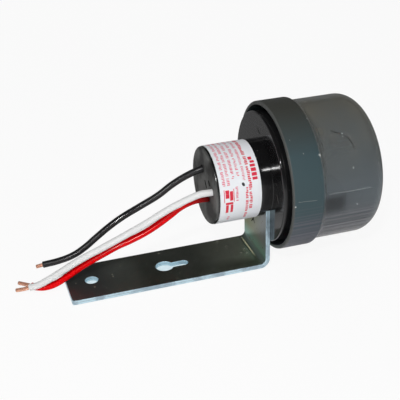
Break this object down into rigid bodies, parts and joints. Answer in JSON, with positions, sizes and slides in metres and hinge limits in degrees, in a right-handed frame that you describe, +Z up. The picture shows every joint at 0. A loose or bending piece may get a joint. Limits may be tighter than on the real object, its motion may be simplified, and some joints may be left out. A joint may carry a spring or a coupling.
{
  "type": "photocell switch",
  "caption": "Photocell switch: smoked twist-lock head in a black receptacle with colour-coded leads, standing on an L-shaped plated steel bracket.",
  "frame": {"origin": "centre of the round fixing hole on the underside of the bracket's arm", "axes": "+X along the head's axis from the lead end to the cap, +Z up out of the arm, -Z out of the fixing hole"},
  "size_m": [0.2014, 0.084, 0.0915],
  "materials": {
    "smoked_cap": "smoked translucent polycarbonate",
    "black_moulding": "glossy phenolic",
    "base_moulding": "satin",
    "gasket_rubber": "matte",
    "blade_brass": "plain",
    "contact_brass": "plain",
    "copper": "bare copper",
    "plated_steel": "bright zinc plate",
    "screw_steel": "zinc plate",
    "label_paper": "coated, with plain red bars",
    "wire_black": "satin insulation",
    "wire_white": "satin insulation",
    "wire_red": "satin insulation",
    "board_laminate": "satin",
    "dark_case": "satin",
    "yellow_case": "satin",
    "can_sleeve": "sleeved can",
    "blue_ceramic": "dipped",
    "tan_ceramic": "matte",
    "holder_plastic": "plain"
  },
  "bodies": {
    "socket": {"bracket": "plated_steel", "socket_body": "black_moulding", "socket_face": "black_moulding", "rear_housing": "black_moulding", "label": "label_paper", "clamp_screw": "screw_steel", "contact_line": "contact_brass", "contact_load": "contact_brass", "contact_neutral": "contact_brass", "wire_black": "wire_black", "wire_white": "wire_white", "wire_red": "wire_red", "conductor_black": "copper", "conductor_white": "copper", "conductor_red": "copper"},
    "head": {"cap": "smoked_cap", "head_base": "base_moulding", "head_gasket": "gasket_rubber", "blade_line": "blade_brass", "blade_load": "blade_brass", "blade_neutral": "blade_brass", "circuit_board": "board_laminate", "board_screws": "screw_steel", "relay": "dark_case", "varistor": "blue_ceramic", "film_capacitor": "yellow_case", "electrolytic_capacitor": "can_sleeve", "resistor": "tan_ceramic", "diodes": "dark_case", "light_sensor": "tan_ceramic", "sensor_holder": "holder_plastic"}
  },
  "joints": [
    {"name": "head_twist", "type": "hinge", "parent": "socket", "child": "head", "pos_m": [0.0996, 0, 0.0495], "axis": [1, 0, 0], "range_deg": [0, 18]}
  ]
}
